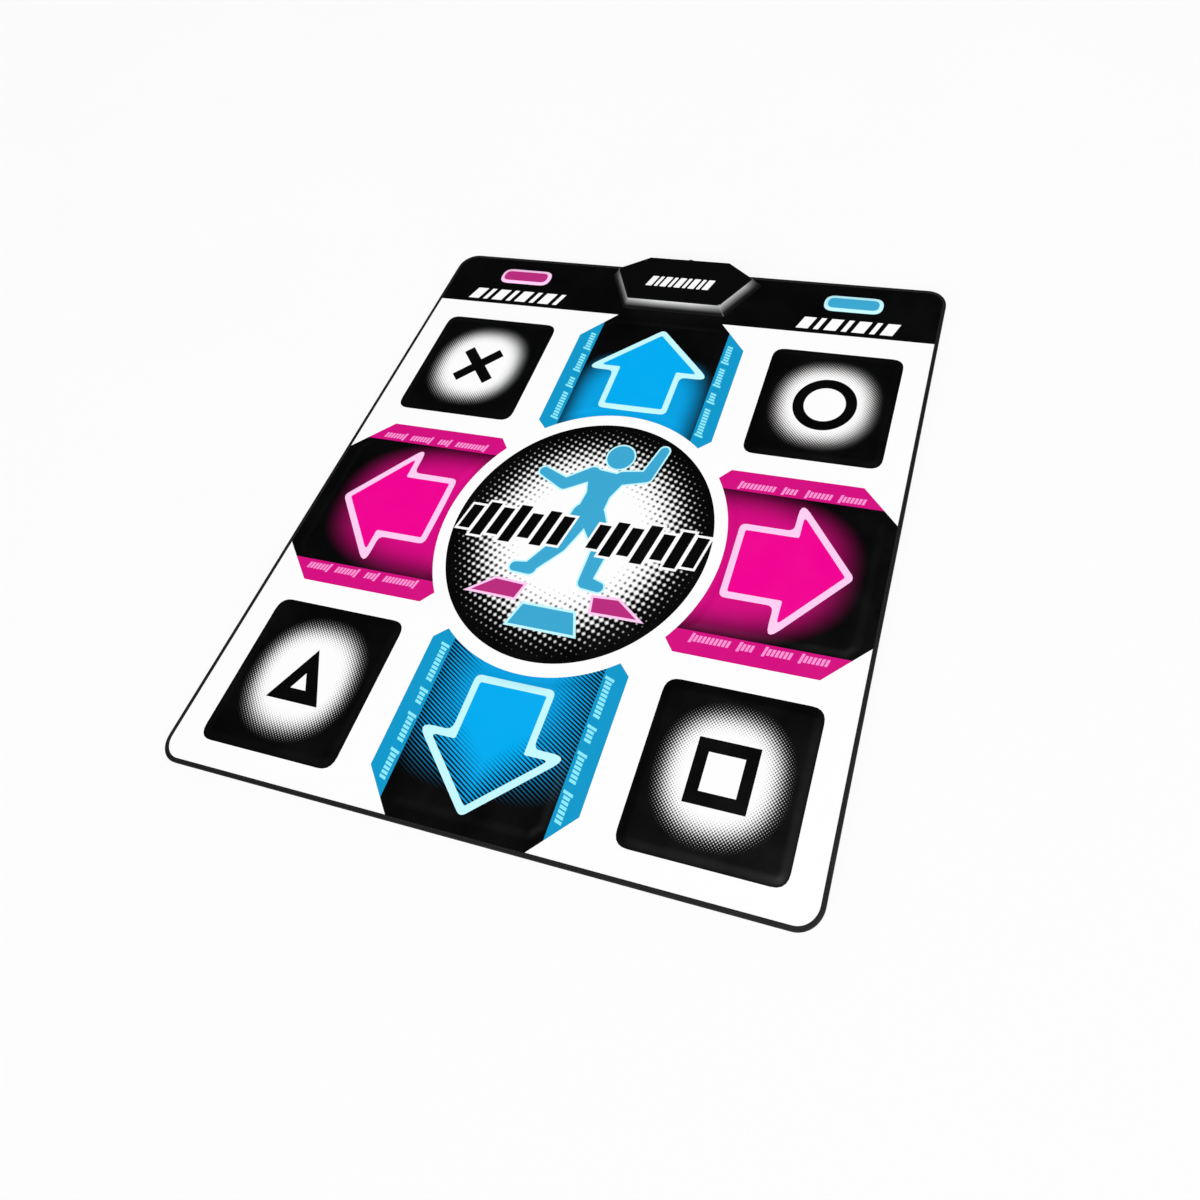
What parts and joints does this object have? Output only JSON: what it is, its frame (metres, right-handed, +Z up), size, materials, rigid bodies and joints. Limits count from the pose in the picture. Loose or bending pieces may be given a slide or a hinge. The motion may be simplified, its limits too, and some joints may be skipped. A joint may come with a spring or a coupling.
{
  "type": "soft dance mat",
  "caption": "Soft foam dance mat with arrow and symbol step panels, two push zones, a bound edge and a raised control box.",
  "frame": {"origin": "on the floor, under the middle of the mat's rectangular outline, without the control box's overhang", "axes": "+Z up, +Y from the player's side to the control box, +X to the player's right"},
  "size_m": [0.84, 0.924, 0.02],
  "materials": {
    "printed_vinyl": "printed soft PVC sheet, fine grain, satin, with white, black, cyan and magenta areas",
    "binding": "woven nylon edge tape, matt",
    "thread": "polyester sewing thread",
    "backing": "non-slip backing, matt with small raised dots",
    "foam": "closed-cell foam, matt",
    "film": "clear-white polyester film, satin",
    "carbon_ink": "printed carbon ink, matt",
    "silver_ink": "printed silver ink, satin",
    "box_gloss": "moulded ABS, high gloss black",
    "box_plastic": "moulded ABS, fine texture",
    "screw_steel": "zinc-plated steel",
    "grommet_rubber": "soft black rubber, matt",
    "board": "green solder mask, satin",
    "chip_epoxy": "black epoxy, glossy",
    "components": "mixed electronic parts, satin",
    "connector": "natural nylon, satin"
  },
  "bodies": {
    "mat": {"backing_sheet": "backing", "base_foam": "foam", "lower_circuit_film": "film", "lower_contact_pads": "carbon_ink", "lower_tracks": "silver_ink", "spacer_foam": "foam", "common_track": "silver_ink", "upper_circuit_film": "film", "printed_cover": "printed_vinyl", "edge_binding": "binding", "binding_stitching": "thread", "box_base": "box_plastic", "box_cover": "box_gloss", "box_screws": "screw_steel", "cable_grommet": "grommet_rubber", "circuit_board": "board", "controller_chip": "chip_epoxy", "board_components": "components", "cable_header": "connector", "film_connectors": "connector", "film_tails": "film", "tail_clamp": "box_plastic"},
    "up_step": {"up_panel_skin": "printed_vinyl", "up_panel_foam": "foam", "up_contact_pad": "carbon_ink"},
    "left_step": {"left_panel_skin": "printed_vinyl", "left_panel_foam": "foam", "left_contact_pad": "carbon_ink"},
    "down_step": {"down_panel_skin": "printed_vinyl", "down_panel_foam": "foam", "down_contact_pad": "carbon_ink"},
    "right_step": {"right_panel_skin": "printed_vinyl", "right_panel_foam": "foam", "right_contact_pad": "carbon_ink"},
    "cross_step": {"cross_panel_skin": "printed_vinyl", "cross_panel_foam": "foam", "cross_contact_pad": "carbon_ink"},
    "ring_step": {"ring_panel_skin": "printed_vinyl", "ring_panel_foam": "foam", "ring_contact_pad": "carbon_ink"},
    "triangle_step": {"triangle_panel_skin": "printed_vinyl", "triangle_panel_foam": "foam", "triangle_contact_pad": "carbon_ink"},
    "square_step": {"square_panel_skin": "printed_vinyl", "square_panel_foam": "foam", "square_contact_pad": "carbon_ink"},
    "select_step": {"select_panel_skin": "printed_vinyl", "select_panel_foam": "foam", "select_contact_pad": "carbon_ink"},
    "start_step": {"start_panel_skin": "printed_vinyl", "start_panel_foam": "foam", "start_contact_pad": "carbon_ink"}
  },
  "joints": [
    {"name": "up_press", "type": "slide", "parent": "mat", "child": "up_step", "axis": [0, 0, -1], "range_m": [0, 0.0014], "stiffness_N_per_m": 6000, "springref_m": -0.001},
    {"name": "left_press", "type": "slide", "parent": "mat", "child": "left_step", "axis": [0, 0, -1], "range_m": [0, 0.0014], "stiffness_N_per_m": 6000, "springref_m": -0.001},
    {"name": "down_press", "type": "slide", "parent": "mat", "child": "down_step", "axis": [0, 0, -1], "range_m": [0, 0.0014], "stiffness_N_per_m": 6000, "springref_m": -0.001},
    {"name": "right_press", "type": "slide", "parent": "mat", "child": "right_step", "axis": [0, 0, -1], "range_m": [0, 0.0014], "stiffness_N_per_m": 6000, "springref_m": -0.001},
    {"name": "cross_press", "type": "slide", "parent": "mat", "child": "cross_step", "axis": [0, 0, -1], "range_m": [0, 0.0014], "stiffness_N_per_m": 6000, "springref_m": -0.001},
    {"name": "ring_press", "type": "slide", "parent": "mat", "child": "ring_step", "axis": [0, 0, -1], "range_m": [0, 0.0014], "stiffness_N_per_m": 6000, "springref_m": -0.001},
    {"name": "triangle_press", "type": "slide", "parent": "mat", "child": "triangle_step", "axis": [0, 0, -1], "range_m": [0, 0.0014], "stiffness_N_per_m": 6000, "springref_m": -0.001},
    {"name": "square_press", "type": "slide", "parent": "mat", "child": "square_step", "axis": [0, 0, -1], "range_m": [0, 0.0014], "stiffness_N_per_m": 6000, "springref_m": -0.001},
    {"name": "select_press", "type": "slide", "parent": "mat", "child": "select_step", "axis": [0, 0, -1], "range_m": [0, 0.0014], "stiffness_N_per_m": 3000, "springref_m": -0.001},
    {"name": "start_press", "type": "slide", "parent": "mat", "child": "start_step", "axis": [0, 0, -1], "range_m": [0, 0.0014], "stiffness_N_per_m": 3000, "springref_m": -0.001}
  ]
}
